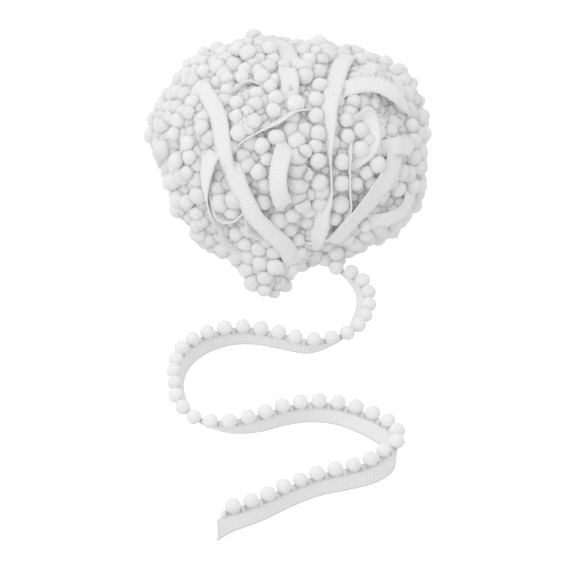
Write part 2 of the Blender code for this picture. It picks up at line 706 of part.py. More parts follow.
def make_pompom_rows(collection, material):
    """The pompoms of the loose end in short rows, each a beaded strand along the tape's upper edge."""
    edge, up, _ = loose_end_frames(0.0005)
    line = edge + POMPOM_HEIGHT * up
    along = np.concatenate([[0], np.cumsum(np.linalg.norm(np.diff(line, axis=0), axis=1))])
    pompoms = int((along[-1] - FIRST_POMPOM - END_ROOM) / POMPOM_PITCH) + 1

    def at(place, drop):
        where = FIRST_POMPOM + place * POMPOM_PITCH
        middle = np.array([np.interp(where, along, column) for column in line.T])
        upwards = unit(np.array([np.interp(where, along, column) for column in up.T]))
        return middle - upwards * drop

    for number, first in enumerate(range(0, pompoms, ROW_POMPOMS)):
        count = min(ROW_POMPOMS, pompoms - first)
        curve = bpy.data.curves.new(f"pompom_row_{number + 1:02d}", "CURVE")
        curve.dimensions = "3D"
        curve.bevel_depth = POMPOM_RADIUS
        curve.bevel_resolution = 2
        curve.use_fill_caps = True
        row = curve.splines.new("POLY")
        last = (along[-1] - FIRST_POMPOM) / POMPOM_PITCH
        places = [bead for bead in beads(count) if first + bead[0] < last]
        row.points.add(len(places) - 1)
        for point, (place, size, drop) in zip(row.points, places):
            point.co = (*at(first + place, drop * CORE_DROP), 1.0)
            point.radius = size
        curve.materials.append(material)
        new_object(curve.name, curve, collection)


def new_material(name, colour, roughness):
    material = bpy.data.materials.new(name)
    material.use_nodes = True
    shader = material.node_tree.nodes["Principled BSDF"]
    shader.inputs["Base Color"].default_value = colour
    shader.inputs["Roughness"].default_value = roughness
    shader.inputs["Metallic"].default_value = 0.0
    return material


def main():
    for old in list(bpy.data.objects):
        bpy.data.objects.remove(old)
    trim = bpy.data.collections.new("pompom_fringe_trim")
    cutters = bpy.data.collections.new("cutters")
    bpy.context.scene.collection.children.link(trim)
    bpy.context.scene.collection.children.link(cutters)
    pile = new_material("white_pile", WHITE, 0.95)
    tape_yarn = new_material("white_tape", WHITE, 0.9)
    ball = make_ball(trim, pile)
    tape = make_tape(trim, tape_yarn)
    cut_clear_of_ball(tape, ball, cutters)
    make_pompom_rows(trim, pile)


main()
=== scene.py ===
# %% [markdown]
# # A white pompom fringe trim, wound into a ball
# The real object is one long strip: a narrow ribbed tape with a row of round pompoms along one edge. Most
# of it is wound into a loose ball by hand. Its loose end lies in front in an S and stands on the tape's edge.
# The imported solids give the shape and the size. This lesson loads them, puts finished pieces in their
# place, and gives those their pile, weave and light.

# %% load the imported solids
import math

import bpy
import numpy as np
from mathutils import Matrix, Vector
from mathutils.kdtree import KDTree


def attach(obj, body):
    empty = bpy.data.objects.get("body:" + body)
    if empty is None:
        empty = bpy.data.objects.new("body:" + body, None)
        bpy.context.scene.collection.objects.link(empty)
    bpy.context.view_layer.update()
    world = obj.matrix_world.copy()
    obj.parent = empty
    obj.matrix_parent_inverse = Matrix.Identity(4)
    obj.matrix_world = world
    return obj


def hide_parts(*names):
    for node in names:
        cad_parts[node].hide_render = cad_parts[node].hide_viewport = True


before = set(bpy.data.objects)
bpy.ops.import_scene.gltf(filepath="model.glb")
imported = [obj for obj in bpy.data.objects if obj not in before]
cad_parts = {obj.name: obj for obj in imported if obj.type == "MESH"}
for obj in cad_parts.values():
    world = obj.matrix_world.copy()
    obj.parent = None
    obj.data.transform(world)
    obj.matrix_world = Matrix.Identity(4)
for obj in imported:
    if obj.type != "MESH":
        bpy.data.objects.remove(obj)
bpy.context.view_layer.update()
bpy.ops.object.select_all(action="DESELECT")

# %% [markdown]
# ## The camera
# The camera comes first, because the other choices are judged through it. The loops of the loose end
# flatten as they do when seen from 35 degrees above the surface, and a long lens from nearly two metres
# keeps the far loops almost as large as the near ones, as in the picture of the real object.

# %% the camera
VIEW_HEIGHT = math.radians(35)
CAMERA_DISTANCE = 1.92
LENS_MM = 212.4
AIM = Vector((-0.00142, -0.05102, 0.0))

look = Vector((0, math.cos(VIEW_HEIGHT), -math.sin(VIEW_HEIGHT)))
bpy.ops.object.camera_add(location=AIM - look * CAMERA_DISTANCE, rotation=(math.pi / 2 - VIEW_HEIGHT, 0, 0))
camera = bpy.context.object
camera.name = "camera"
camera.data.sensor_width = 36
camera.data.lens = LENS_MM
bpy.context.scene.camera = camera
print("camera at", [round(x, 3) for x in camera.location])

# %% [markdown]
# ## The studio
# The real object is shown on pure white with next to no shadow, lit softly from the upper left. A floor
# that glows keeps the ground white right up to the object, for the camera alone. The air around is bright
# at the upper left and dimmer towards the lower right, so what faces away is a little greyer, and one
# large area light shapes the pompoms. The picture is printed bright, with a gamma that lifts the hollows.

# %% the floor
def simple_shader(name, colour, roughness):
    material = bpy.data.materials.new(name)
    material.use_nodes = True
    shader = material.node_tree.nodes["Principled BSDF"]
    shader.inputs["Base Color"].default_value = (*colour, 1.0)
    shader.inputs["Roughness"].default_value = roughness
    return material, shader


FLOOR_GLOW = 0.9
floor_finish, floor_shader = simple_shader("studio_floor", (0.82, 0.82, 0.82), 1.0)
floor_shader.inputs["Specular IOR Level"].default_value = 0.0
floor_shader.inputs["Emission Color"].default_value = (1.0, 1.0, 1.0, 1.0)
floor_shader.inputs["Emission Strength"].default_value = FLOOR_GLOW
bpy.ops.mesh.primitive_plane_add(size=6.0, location=(0, 0, -0.0004))
floor = bpy.context.object
floor.name = "studio_floor"
floor.data.materials.append(floor_finish)
floor.visible_diffuse = False
print("floor glow:", FLOOR_GLOW)

# %% the light
KEY_PLACE, KEY_SIZE, KEY_WATTS = (-1.3, -1.0, 1.4), 1.2, 5.0
AIR_BRIGHT, AIR_DIM = 0.88, 0.66
BRIGHT_SIDE = (-0.52, -0.20, 0.83)
DIM_FROM, BRIGHT_FROM = -0.5, 0.7  # how far towards the bright side the two levels are reached
PRINT_GAMMA = 1.3  # lifts the hollows between the pompoms


def area_light(name, place, size, watts):
    bpy.ops.object.light_add(type="AREA", location=place)
    light = bpy.context.object
    light.name = name
    light.data.size = size
    light.data.energy = watts
    light.rotation_euler = (AIM - Vector(place)).to_track_quat("-Z", "Y").to_euler()
    return light


area_light("key_light", KEY_PLACE, KEY_SIZE, KEY_WATTS)

world = bpy.data.worlds.new("studio_air")
bpy.context.scene.world = world
world.use_nodes = True
air = world.node_tree
facing = air.nodes.new("ShaderNodeVectorMath")
facing.operation = "DOT_PRODUCT"
facing.inputs[1].default_value = BRIGHT_SIDE
air.links.new(air.nodes.new("ShaderNodeTexCoord").outputs["Generated"], facing.inputs[0])
level = air.nodes.new("ShaderNodeMapRange")
spans = {"From Min": DIM_FROM, "From Max": BRIGHT_FROM, "To Min": AIR_DIM, "To Max": AIR_BRIGHT}
for title, value in spans.items():
    level.inputs[title].default_value = value
air.links.new(facing.outputs["Value"], level.inputs["Value"])
air.links.new(level.outputs["Result"], air.nodes["Background"].inputs["Strength"])
air.nodes["Background"].inputs["Color"].default_value = (1.0, 1.0, 1.0, 1.0)
bpy.context.scene.view_settings.view_transform = "Standard"
bpy.context.scene.view_settings.gamma = PRINT_GAMMA

# %% [markdown]
# ## Finishes
# Two finishes are needed. The pompoms are cut pile: matt, a little fuzzy, with a faint sheen at grazing
# angles, and no two quite as bright. The tape is woven: its ribs are modelled, and finer threads across
# and along it come from a bump. Both share two node groups, one for uneven white and one for fibres, which
# are built once and placed in each material with its own values.

# %% node helpers
def new_group(name, inputs, outputs):
    """A shader node group with float inputs and the given outputs."""
    group = bpy.data.node_groups.new(name, "ShaderNodeTree")
    for title, value in inputs:
        socket = group.interface.new_socket(name=title, in_out="INPUT", socket_type="NodeSocketFloat")
        socket.default_value = value
    for title, kind in outputs:
        group.interface.new_socket(name=title, in_out="OUTPUT", socket_type=kind)
    return group, group.nodes.new("NodeGroupInput"), group.nodes.new("NodeGroupOutput")


def maths(tree, operation, first, second):
    """A Math node of two sockets or numbers."""
    node = tree.nodes.new("ShaderNodeMath")
    node.operation = operation
    for socket, value in zip(node.inputs, (first, second)):
        if isinstance(value, (int, float)):
            socket.default_value = value
        else:
            tree.links.new(value, socket)
    return node.outputs[0]


# %% uneven white
uneven, given, made = new_group(
    "uneven_white",
    [("Patch size", 0.02), ("Depth", 0.06), ("Brightness", 0.9)],
    [("Colour", "NodeSocketColor")],
)
places = uneven.nodes.new("ShaderNodeTexCoord").outputs["Object"]
patches = uneven.nodes.new("ShaderNodeTexNoise")
patches.inputs["Detail"].default_value = 3.0
uneven.links.new(places, patches.inputs["Vector"])
uneven.links.new(maths(uneven, "DIVIDE", 1.0, given.outputs["Patch size"]), patches.inputs["Scale"])
darker = maths(uneven, "MULTIPLY", patches.outputs["Fac"], given.outputs["Depth"])
level = maths(uneven, "SUBTRACT", given.outputs["Brightness"], darker)
grey = uneven.nodes.new("ShaderNodeCombineColor")
for channel in grey.inputs[:3]:
    uneven.links.new(level, channel)
uneven.links.new(grey.outputs["Color"], made.inputs["Colour"])
print("group:", uneven.name)

# %% fibres
fibres, given, made = new_group(
    "fibres", [("Tuft size", 0.0007), ("Fine share", 0.4)], [("Height", "NodeSocketFloat")]
)
places = fibres.nodes.new("ShaderNodeTexCoord").outputs["Object"]
tufts = fibres.nodes.new("ShaderNodeTexNoise")
tufts.inputs["Detail"].default_value = 2.0
strands = fibres.nodes.new("ShaderNodeTexNoise")
strands.inputs["Detail"].default_value = 4.0
strands.inputs["Roughness"].default_value = 0.7
size = maths(fibres, "DIVIDE", 1.0, given.outputs["Tuft size"])
fibres.links.new(size, tufts.inputs["Scale"])
fibres.links.new(maths(fibres, "MULTIPLY", size, 3.5), strands.inputs["Scale"])
for noise in (tufts, strands):
    fibres.links.new(places, noise.inputs["Vector"])
fine = maths(fibres, "MULTIPLY", strands.outputs["Fac"], given.outputs["Fine share"])
fibres.links.new(maths(fibres, "ADD", tufts.outputs["Fac"], fine), made.inputs["Height"])
print("group:", fibres.name)

# %% [markdown]
# The weave needs to follow the strip as it bends, so it reads the tape's own UV map, which is laid out in
# millimetres: across the tape one way and along it the other. Two sine waves make threads over and under.

# %% the weave
weave, given, made = new_group(
    "tape_weave", [("Thread pitch", 0.65)], [("Height", "NodeSocketFloat")]
)
flat_place = weave.nodes.new("ShaderNodeUVMap")
flat_place.uv_map = "UVMap"
split = weave.nodes.new("ShaderNodeSeparateXYZ")
weave.links.new(flat_place.outputs["UV"], split.inputs[0])
turns = maths(weave, "DIVIDE", 2 * math.pi, given.outputs["Thread pitch"])
warp = maths(weave, "SINE", maths(weave, "MULTIPLY", split.outputs["X"], turns), 0.0)
weft = maths(weave, "SINE", maths(weave, "MULTIPLY", split.outputs["Y"], turns), 0.0)
weave.links.new(maths(weave, "MULTIPLY", warp, weft), made.inputs["Height"])
print("group:", weave.name)


# %% pile
def placed_group(tree, group, **values):
    node = tree.nodes.new("ShaderNodeGroup")
    node.node_tree = group
    for title, value in values.items():
        node.inputs[title.replace("_", " ")].default_value = value
    return node


def multiplied(tree, colour, factor_socket, strength):
    """A colour darkened by a factor that changes over the surface."""
    mix = tree.nodes.new("ShaderNodeMix")
    mix.data_type = "RGBA"
    mix.blend_type = "MULTIPLY"
    mix.inputs["Factor"].default_value = strength
    tree.links.new(colour, mix.inputs["A"])
    tree.links.new(factor_socket, mix.inputs["B"])
    return mix.outputs["Result"]


def bumped(tree, shader, height, strength, distance):
    bump = tree.nodes.new("ShaderNodeBump")
    bump.inputs["Strength"].default_value = strength
    bump.inputs["Distance"].default_value = distance
    tree.links.new(height, bump.inputs["Height"])
    tree.links.new(bump.outputs["Normal"], shader.inputs["Normal"])


def make_pile(name, brightness, tuft_size, bump_depth):
    """Cut pile. The tone attribute makes each pompom a little brighter or darker than the next."""
    material, shader = simple_shader(name, (brightness,) * 3, 0.95)
    tree = material.node_tree
    tone = tree.nodes.new("ShaderNodeAttribute")
    tone.attribute_name = "tone"
    white = placed_group(tree, uneven, Patch_size=0.012, Depth=0.05, Brightness=brightness)
    colour = multiplied(tree, white.outputs["Colour"], tone.outputs["Color"], 1.0)
    tree.links.new(colour, shader.inputs["Base Color"])
    tufts = placed_group(tree, fibres, Tuft_size=tuft_size, Fine_share=0.45)
    bumped(tree, shader, tufts.outputs["Height"], 0.55, bump_depth)
    shader.inputs["Subsurface Weight"].default_value = 0.7
    shader.inputs["Subsurface Radius"].default_value = (1.0, 1.0, 1.0)
    shader.inputs["Subsurface Scale"].default_value = 0.006
    shader.inputs["Sheen Weight"].default_value = 0.12
    shader.inputs["Sheen Roughness"].default_value = 0.6
    shader.inputs["Specular IOR Level"].default_value = 0.15
    return material


ball_pile = make_pile("ball_pile", 0.95, 0.0012, 0.0005)
loose_pile = make_pile("loose_end_pile", 0.95, 0.0009, 0.0004)
print("finishes:", ball_pile.name, loose_pile.name)

# %% woven tape
tape_finish, shader = simple_shader("ribbed_tape", (0.9, 0.9, 0.9), 0.85)
tree = tape_finish.node_tree
white = placed_group(tree, uneven, Patch_size=0.015, Depth=0.05, Brightness=0.93)
threads = placed_group(tree, weave, Thread_pitch=0.65)
nap = placed_group(tree, fibres, Tuft_size=0.0005, Fine_share=0.5)
tree.links.new(white.outputs["Colour"], shader.inputs["Base Color"])
height = maths(tree, "ADD", threads.outputs["Height"], maths(tree, "MULTIPLY", nap.outputs["Height"], 0.8))
bumped(tree, shader, height, 0.4, 0.00008)
shader.inputs["Sheen Weight"].default_value = 0.08
shader.inputs["Specular IOR Level"].default_value = 0.2
print("finish:", tape_finish.name)

# %% [markdown]
# ## Measures of the trim
# The same named sizes shape the solids and the pieces here, all in metres. The two tables further on say
# where the outermost strips of the ball and the loose end lie.

# %% measures
POMPOM_RADIUS = 0.0041
POMPOM_PITCH = 0.0102
POMPOM_HEIGHT = 0.0146  # a pompom's centre, from the tape's free edge
TAPE_WIDTH = 0.0102
TAPE_THICKNESS = 0.0012
BALL_HALF_SIZE = np.array((0.0805, 0.0650, 0.0615))
BALL_MIDDLE = np.array((0.0, 0.0, 0.0580))
FORM_POWER = 2.3
CORE_DEPTH = 0.0170
GRID_CUTS = 71
WOUND_RADIUS = 0.0045
# Laid under others, a pompom yields: only this share of its radius has to stay clear of them
SOFTNESS = 0.62
PROUD_SOFTNESS = 0.45
COVER_REACH, COVER_FIRMNESS = 0.50, 1.05  # and it yields less under a tape
WOUND_PITCH = 0.0094
STRIP_STEP = 0.0024
OUTER_ROOM = 0.0015
PROUD_ROOM = 0.0050
STEEP_DEPTH = 0.0030  # a tape that dives deeper than this from its free edge covers no more there
FORM_LOBES = (
    (-12, -41, 12, 0.0205), (-48, -22, 14, 0.0020), (58, -20, 16, 0.0010), (-95, 5, 16, 0.0040),
    (-150, 50, 22, 0.0030), (116, 30, 22, 0.0035), (-83, -9, 12, -0.0175), (-68, -28, 9, -0.0120),
    (-80, -14, 6, -0.0110), (-71, -24, 6, -0.0060), (-50, -42, 6, -0.0020), (-39, -47, 6, -0.0035),
    (-120, 37, 9, 0.0040), (88, -3, 9, -0.0085), (81, -13, 6, 0.0015), (67, -30, 11, -0.0015),
    (58, -37, 7, -0.0100), (48, -43, 6, 0.0030), (6, -38, 6, -0.0070), (22, -35, 10, -0.0030),
    (72, 29, 8, -0.0040), (7, -14, 6, -0.0050), (-32, -13, 6, -0.0045), (-125, 66, 14, 0.0030),
    (169, 56, 6, -0.0070), (155, 53, 6, 0.0050), (144, 50, 6, -0.0070), (125, 40, 7, -0.0030),
)
print("pompom", POMPOM_RADIUS * 2000, "mm across, tape", TAPE_WIDTH * 1000, "mm wide")


# %% lines and directions
def resampled(line, step):
    """The same line with evenly spaced points, about step apart in its first three columns."""
    steps = np.linalg.norm(np.diff(line[:, :3], axis=0), axis=1)
    along = np.concatenate([[0], np.cumsum(steps)])
    places = np.linspace(0, along[-1], max(2, round(along[-1] / step) + 1))
    return np.stack([np.interp(places, along, column) for column in line.T], axis=1)


def spline(rows, step):
    """A smooth line through rows of numbers, with a point about every step of their first three columns."""
    rows = np.asarray(rows, float)
    before, after = 2 * rows[:1] - rows[1:2], 2 * rows[-1:] - rows[-2:-1]
    knots = np.concatenate([before, rows, after])
    parts = []
    for a, b, c, d in zip(knots, knots[1:], knots[2:], knots[3:]):
        t = np.linspace(0, 1, 24, endpoint=False)[:, None]
        parts.append(
            0.5 * (2 * b + (c - a) * t + (2 * a - 5 * b + 4 * c - d) * t**2 + (3 * b - a - 3 * c + d) * t**3)
        )
    return resampled(np.concatenate([*parts, rows[-1:]]), step)


def unit(vectors):
    return vectors / np.linalg.norm(vectors, axis=-1, keepdims=True)


def tangents(line):
    return unit(np.gradient(line, axis=0))


def heading(bearing, height):
    """The direction at a bearing from the front, towards +X, and a height angle, in degrees."""
    b, h = math.radians(bearing), math.radians(height)
    return np.array((math.sin(b) * math.cos(h), -math.cos(b) * math.cos(h), math.sin(h)))


def form_radius(directions):
    """How far the wound form reaches from the ball's middle in each direction."""
    directions = np.atleast_2d(directions)
    shares = (np.abs(directions) / BALL_HALF_SIZE) ** FORM_POWER
    radius = shares.sum(axis=1) ** (-1 / FORM_POWER)
    for bearing, height, reach, lift in FORM_LOBES:
        off = np.degrees(np.arccos(np.clip(directions @ heading(bearing, height), -1, 1)))
        radius = radius + lift * np.exp(-((off / reach) ** 2))
    return radius


print("the form is", round(float(form_radius([(1.0, 0.0, 0.0)])[0]) * 2000, 1), "mm wide")

# %% [markdown]
# ## One pompom, modelled once
# A real pompom is a tuft of cut yarn, nearly round, a little ragged, and softer where it is pressed. A cube
# that is subdivided and made round gives even quads without poles. Its corners are shaken a little and
# smoothed again. A few of these, turned and squashed differently, give hundreds that don't look alike.

# %% a pompom by hand
def model_pompom(cuts, raggedness, seed):
    """The corners and faces of one pompom of radius 1."""
    bpy.ops.mesh.primitive_cube_add(size=2)
    bpy.ops.object.mode_set(mode="EDIT")
    bpy.ops.mesh.subdivide(number_cuts=cuts)
    bpy.ops.transform.tosphere(value=1.0)
    bpy.ops.transform.vertex_random(offset=raggedness, seed=seed)
    bpy.ops.mesh.vertices_smooth(factor=0.5)
    bpy.ops.object.mode_set(mode="OBJECT")
    pompom = bpy.context.object
    corners = np.array([vertex.co for vertex in pompom.data.vertices])
    faces = np.array([face.vertices for face in pompom.data.polygons])
    bpy.data.objects.remove(pompom)
    return corners / np.linalg.norm(corners, axis=1).mean(), faces


wound_pompoms = [model_pompom(2, 0.22, seed) for seed in range(8)]
loose_pompoms = [model_pompom(8, 0.16, seed) for seed in range(6)]
print("faces of a wound pompom:", len(wound_pompoms[0][1]), "and of a loose one:", len(loose_pompoms[0][1]))


# %% copies of it
def turned_copy(corners, radius, squash, axis, rng):
    """The corners of one pompom, turned at random, then flattened along an axis."""
    turn, _ = np.linalg.qr(rng.normal(size=(3, 3)))
    if np.linalg.det(turn) < 0:
        turn[:, 0] *= -1
    corners = corners @ turn.T * radius
    return corners - np.outer(corners @ axis, axis) * (1 - squash)


def joined_piece(name, copies, tones, material):
    """One piece of many closed forms, each with its own tone."""
    corners, faces, count = [], [], 0
    for form_corners, form_faces in copies:
        corners.append(form_corners)
        faces.extend((form_faces + count).tolist())
        count += len(form_corners)
    mesh = bpy.data.meshes.new(name)
    mesh.from_pydata(np.concatenate(corners).tolist(), [], faces)
    tone = mesh.attributes.new("tone", "FLOAT", "POINT")
    tone.data.foreach_set("value", np.repeat(tones, [len(c) for c, _ in copies]))
    mesh.materials.append(material)
    mesh.shade_smooth()
    piece = bpy.data.objects.new(name, mesh)
    bpy.context.scene.collection.objects.link(piece)
    print(name, "has", len(copies), "forms and", len(mesh.polygons), "faces")
    return piece


# %% [markdown]
# ## How the ball is wound
# A wound ball is laid from the outside in here, because only the outside is seen. For every direction from
# its middle the builder keeps a ceiling, the room that is left under what is already laid. The strips that
# show in front come from a table. The turns under them are chosen one by one, each the one of a few trial
# turns that covers most of what is still bare, and each pompom sinks until it fits under the ceiling.

# %% the strips in front
# A row is a place on the tape's free edge: bearing from the front, height angle, how the tape turns from
# there to its pompoms (0 flat to the left of its run, 180 flat to the right, 270 straight in), all in
# degrees, and its lift in millimetres.
OUTER_STRIPS = {
    "upright_tape": (
        (109, 55, 205, -2), (88, 60, 205, -0.5), (68, 60, 208, 0), (48, 56, 215, 1), (38, 52, 226, 1.5),
        (31, 46, 243, 1.5), (24, 35, 262, 1.5), (21, 27, 280, 2), (20, 18, 285, 2), (19, 8, 268, 2),
        (18, 2, 240, 2), (18, -6, 232, 2), (17, -15, 228, 1), (16, -24, 222, -1), (15, -33, 215, -4),
    ),
    "sash": (
        (52, 24, -30, -1), (47, 19, -25, 1.5), (41, 14, -25, 2.5), (36, 10, -25, 3), (31, 5, -25, 3),
        (27, -1, -22, 2.5), (22, -8, -15, 2), (18, -14, -22, 1), (12, -19, -30, 0),
    ),
    "sash_below": (
        (60, 21, 195, -2), (56, 16, 190, -1), (51, 10, 188, 0), (45, 5, 188, 0), (38, -2, 188, 0),
        (32, -8, 190, 0), (27, -16, 195, 0),
    ),
    "loop": (
        (44, 43, 240, 1), (50, 43, 240, 2.5), (53, 41, 240, 3), (53, 38, 240, 3), (50, 32, 240, 3),
        (46, 27, 240, 2), (42, 24, 240, 1), (36, 22, 240, 0),
    ),
    "left_band": (
        (-91, 43, 185, -3), (-81, 48, 184, -1), (-69, 49, 184, 0), (-53, 47, 184, 0), (-42, 42, 184, 0),
        (-34, 33, 188, 0), (-30, 26, 192, 0), (-27, 19, 200, -2),
    ),
    "thin_diagonal": (
        (-26, 36, -72, 0), (-18, 42, -70, 1.5), (-7, 47, -68, 2), (4, 52, -68, 2), (12, 53, -75, 0.5),
    ),
    "middle_patch": (
        (-8, 37, -20, 0), (-9, 33, -5, 3.5), (-10, 26, 3, 5), (-10, 19, 5, 5), (-9, 13, 0, 4.5),
        (-7, 6, -12, 2), (-4, 1, -60, -4),
    ),
    "lower_left_edge": (
        (-38, 21, 190, 0), (-38, 12, 200, 1), (-38, 4, 215, 2), (-37, -3, 240, 2), (-36, -11, 252, 2),
        (-34, -19, 258, 2), (-30, -25, 262, 1), (-25, -28, 262, 0),
    ),
    "hammock": (
        (-38, 3, -106, 0), (-34, -4, -106, 2), (-30, -5, -106, 2), (-26, -3, -106, 2), (-21, 3, -106, 0),
    ),
    "lower_band": (
        (-31, 17, -20, 0), (-29, 13, -15, 0.5), (-24, 5, -15, 1.5), (-20, -3, -15, 1.5), (-14, -11, -15, 1),
        (-7, -21, -20, 0), (-3, -31, -30, -3),
    ),
    "small_curl": (
        (-22, 3, -80, 0), (-21, -5, -72, 1.5), (-20, -11, -72, 1.5), (-16, -15, -80, 0),
    ),
    "right_fold": (
        (53, 52, -10, 0), (60, 49, 5, 3), (64, 45, 8, 5.5), (66, 39, 10, 6), (69, 34, 10, 5),
        (75, 29, 0, 2),
    ),
    "right_flat": (
        (51, 28, 200, -2), (56, 27, 185, 2), (60, 25, 185, 2), (65, 22, 185, 2), (70, 17, 200, -2),
    ),
    "crown": (
        (-134, 48, 186, -3), (-147, 47, 186, -2), (-157, 49, 186, -2), (-167, 57, 186, -2),
        (178, 68, 186, -2), (138, 83, 190, -3),
    ),
    "lower_right_band": (
        (42, -13, -30, -1), (48, -11, -15, 2), (55, -9, -15, 2), (62, -6, -30, -1),
    ),
    "second_upright": (
        (33, 30, 285, 0), (30, 23, 290, 1.5), (29, 17, 292, 1.5), (28, 9, 292, 1.5), (28, 2, 288, 1.5),
        (26, -5, 280, 0),
    ),
    "upper_right_flat": (
        (89, 56, 195, -1), (95, 52, 185, 2), (95, 48, 185, 2), (92, 44, 195, -1),
    ),
    "small_diagonal": (
        (-56, 55, -62, -1), (-54, 61, -60, 1.5), (-50, 64, -60, 1.5), (-42, 66, -62, -1),
    ),
    "top_patch": (
        (-65, 83, -10, -3), (-28, 77, -3, 0.5), (-15, 71, -3, 0.5), (-12, 65, -20, -2),
    ),
}
# Pompoms that stand out in front: bearing and height angle in degrees, how far they stand out of the form
# and their radius, both in mm
PROUD_POMPOMS = (
    (-115, 62, 3, 4.0), (-107, 68, 4, 4.8), (-127, 64, 2, 4.0), (-133, 75, 3, 4.0), (-133, 68, 1, 3.7),
    (-166, 78, 3, 4.5), (-160, 69, 1, 3.7), (151, 59, 2.5, 4.5), (133, 71, 1.5, 4.0), (108, 72, 1, 3.7),
    (66, 74, 1, 4.5), (41, 66, 1, 4.2), (26, 59, 1, 4.2), (20, 50, 1, 4.0), (18, 41, 1, 4.2),
    (15, 35, 0.5, 3.7), (15, 28, 2, 4.5), (15, 17, 2, 4.5), (8, 22, 3, 3.7), (8, 33, 3, 3.6),
    (10, 11, 0, 3.6), (15, 5, 0, 4.2), (6, 6, 3.5, 4.5), (1, -1, 1, 3.6), (-6, -5, 1, 4.8),
    (-1, -13, 1.5, 4.8), (4, -20, 0, 4.0), (5, -28, 0, 4.0), (9, -7, -1, 3.6), (19, -14, -1, 3.6),
    (-124, 38, 1, 3.7), (-129, 42, 1, 4.2), (-117, 32, 1, 3.7), (-109, 44, 1.5, 3.7), (-99, 52, 1, 4.5),
    (-111, 27, 1, 3.7), (-98, 36, 0.5, 3.6), (-93, 31, 1, 4.0), (-103, 22, 0.5, 3.6), (-81, 38, 1, 3.7),
    (-94, 21, 1, 3.7), (-80, 30, 1, 3.7), (-68, 34, 1.5, 3.7), (-64, 40, 1.5, 4.2), (-94, 14, 1, 3.7),
    (-79, 21, 1, 4.0), (-94, 6, 1, 4.5), (-67, 23, 1.5, 3.7), (-57, 24, 1.5, 4.0), (-72, 13, 1, 4.5),
    (-54, 33, 2, 4.5), (-75, 56, 1.5, 3.7), (-61, 53, 1.5, 3.7), (-46, 51, 1, 3.6), (-70, 63, 1, 3.6),
    (-39, 45, 1, 4.2), (-33, 38, 1.5, 4.5), (-32, 55, 1, 4.0), (-34, 49, 1, 3.6), (-52, 71, 1.5, 4.5),
    (-27, 67, 2, 3.6), (-37, 60, 1, 3.6), (1, 69, 3, 3.6), (5, 58, 2.5, 4.5), (-16, 61, 1.5, 4.0),
    (-15, 54, 1, 4.0), (-27, 46, 1, 4.2), (-9, 40, 2, 4.5), (-17, 35, 1.5, 4.2), (4, 39, 1, 4.5),
    (-13, 29, 1, 3.6), (-17, 22, 1.5, 4.0), (-13, 16, 0.5, 3.6), (-14, 6, 0.5, 4.0), (-47, 22, 1, 4.5),
    (-44, 14, 1, 4.5), (-41, 27, 1, 4.5), (-53, 19, 1, 4.0), (-36, 21, 1, 4.0), (-60, 14, 1, 4.0),
    (-52, 12, 1, 3.6), (-57, -4, 1.5, 4.5), (-51, -2, 1.5, 4.0), (-46, 3, 1, 4.5), (-35, 3, 2, 5.2),
    (-28, 6, 2, 5.1), (-46, -6, 1, 3.6), (91, 56, 1, 3.6), (68, 55, 1, 3.7), (53, 49, 1, 4.0),
    (39, 43, 1, 3.7), (35, 36, 1, 3.7), (30, 43, 0, 3.6), (26, 35, 0, 3.6), (28, 25, 1.5, 4.5),
    (26, 15, 1.5, 4.2), (25, 4, 1.5, 4.8), (22, -4, 1, 4.0), (44, 36, 1, 4.2), (39, 28, 1, 4.5),
    (33, 13, 0.5, 3.7), (39, 17, 0.5, 3.6), (129, 53, 1, 3.7), (125, 49, 1, 4.0), (115, 37, 1.5, 4.5),
    (114, 29, 1.5, 4.2), (108, 24, 1, 3.7), (90, 48, 1, 3.6), (100, 20, 1, 3.7), (92, 30, 1, 5.1),
    (94, 16, 1, 3.7), (86, 12, 1, 4.0), (69, 33, -3, 4.0), (73, 26, -2, 4.2), (65, 42, -1, 3.6),
    (55, 16, 1, 3.6), (64, 14, 1, 3.7), (69, 6, 0, 4.0), (63, 0, 1, 4.2), (54, 3, 0.5, 4.0),
    (70, -4, 1, 3.7), (55, -5, 1, 3.7), (60, -12, 0.5, 3.6), (45, -14, 1, 4.5), (54, -15, 1, 4.0),
    (36, -24, 1, 5.1), (37, -3, 0.5, 3.6), (37, -11, 1, 3.6), (24, -41, 3, 4.5), (28, -33, 2, 4.0),
    (37, -47, 2, 3.6), (-23, -35, 1, 5.1), (-19, -37, 2, 5.2), (-8, -30, 2, 5.2), (-9, -24, 1, 4.2),
    (0, -36, 2, 4.2), (5, -41, 1, 4.0), (-9, -43, 1, 3.7), (-3, -43, 1, 3.6), (-17, -23, 1, 4.5),
    (-24, -21, 1, 4.0), (-13, -37, 1, 3.6), (4, 30, 3.5, 5.0), (4, 24, 4, 5.2), (4, 17.5, 4, 5.2),
    (4, 11, 3, 5.0),
)
SEED = 11
TURNS = 36
TRIALS = 14
YAW_SPREAD, PITCH_SPREAD = math.radians(60), math.radians(50)
OFFSET_SPREAD = 0.80
WOBBLE = 0.05
BARE_DEPTH = 0.0055
HIDDEN_DEPTH = 0.0110
SIDE_STEPS = (0.0, 0.0018, -0.0018, 0.0036, -0.0036)
SIDE_COST = 0.25
FLAT_TURN = math.radians(10)
FLAT_WISH = 0.1
FLAT_SQUEEZE = 0.001
FILL_PLACES = 9000
FILL_DEPTH = 0.0095
FILL_SOFTNESS = 0.30
FILL_BARE = 0.0025
UNDER_PLACES = 1700
UNDER_DEPTH = 0.0040  # the layer below stands this far under the form
NEAR_DEPTH = 0.0080  # and gives way under tapes down to this depth
print("outer strips:", len(OUTER_STRIPS))


